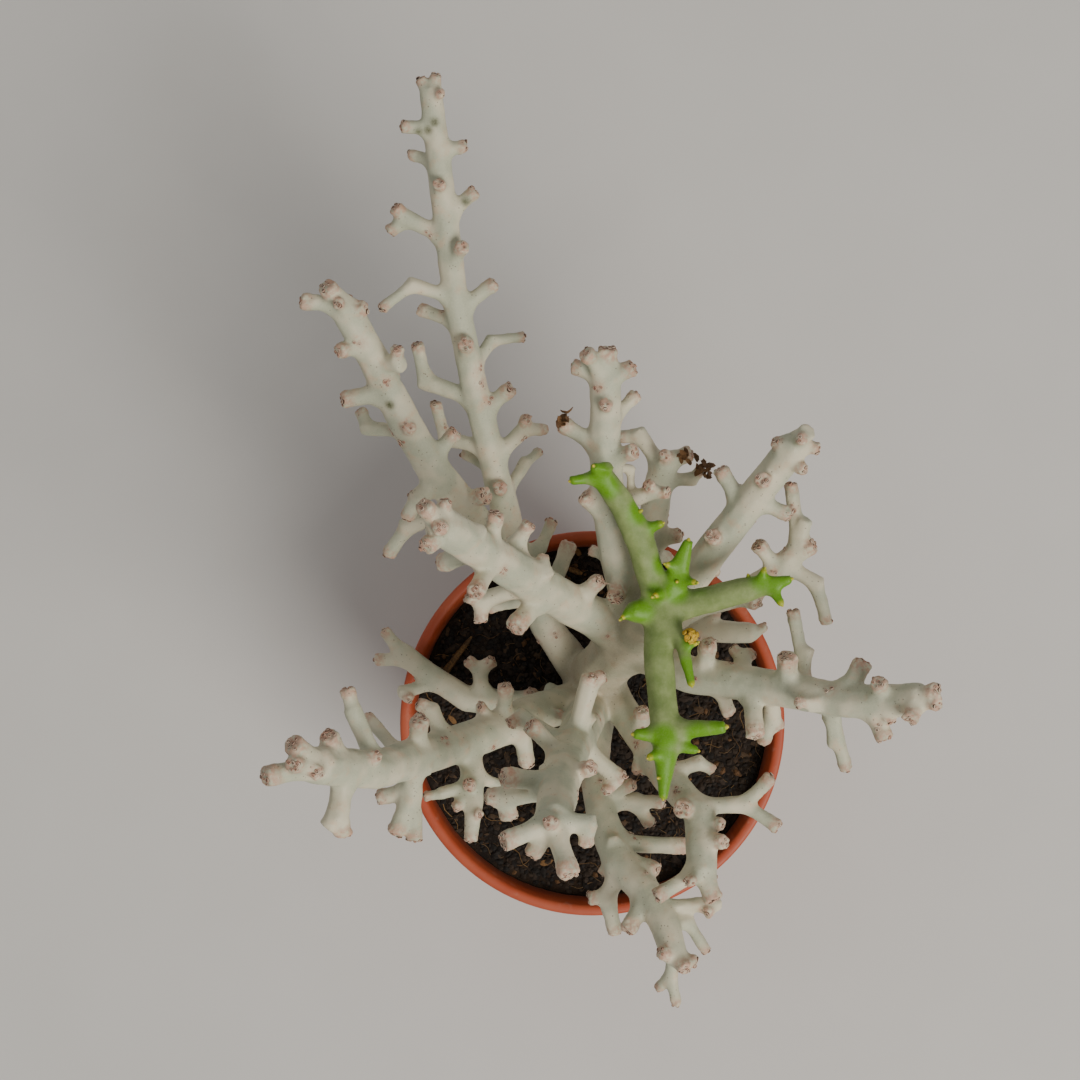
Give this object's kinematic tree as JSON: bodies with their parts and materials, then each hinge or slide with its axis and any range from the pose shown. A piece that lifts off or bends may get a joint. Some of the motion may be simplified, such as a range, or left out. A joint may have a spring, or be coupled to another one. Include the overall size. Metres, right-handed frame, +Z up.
{
  "type": "potted euphorbia",
  "caption": "Potted coral euphorbia: pale knobbly branching stems with young green shoots, growing from dark soil in a round terracotta-coloured plastic pot.",
  "frame": {"origin": "middle of the flat underside of the pot, on the surface that it stands on", "axes": "+Z up; +Y towards the side that the tallest stem leans to; +X to the right when the tall stem points away; right-handed"},
  "size_m": [0.1807, 0.2654, 0.2261],
  "materials": {
    "terracotta_plastic": "satin moulded plastic, terracotta orange",
    "peat": "dark brown crumbly peat with fibres",
    "old_stem_bark": "smooth greyish old stem",
    "waxy_stem": "waxy pale grey-white skin with a faint green tinge and peach blush",
    "young_green": "smooth young green skin",
    "straw": "dry tan bark"
  },
  "bodies": {
    "root": {"pot": "terracotta_plastic", "soil": "peat", "trunk": "old_stem_bark", "north_tall_stem": "waxy_stem", "north_west_stem": "waxy_stem", "north_west_near_stem": "waxy_stem", "north_stem": "waxy_stem", "north_low_stem": "waxy_stem", "north_east_stem": "waxy_stem", "east_upper_stem": "waxy_stem", "east_stem": "waxy_stem", "east_low_stem": "waxy_stem", "south_east_stem": "waxy_stem", "south_stem": "waxy_stem", "south_near_stem": "waxy_stem", "west_stem": "waxy_stem", "south_west_stem": "waxy_stem", "west_low_stem": "waxy_stem", "young_green_shoots": "young_green", "bark_sliver_left": "straw", "bark_sliver_back": "straw"}
  },
  "joints": []
}
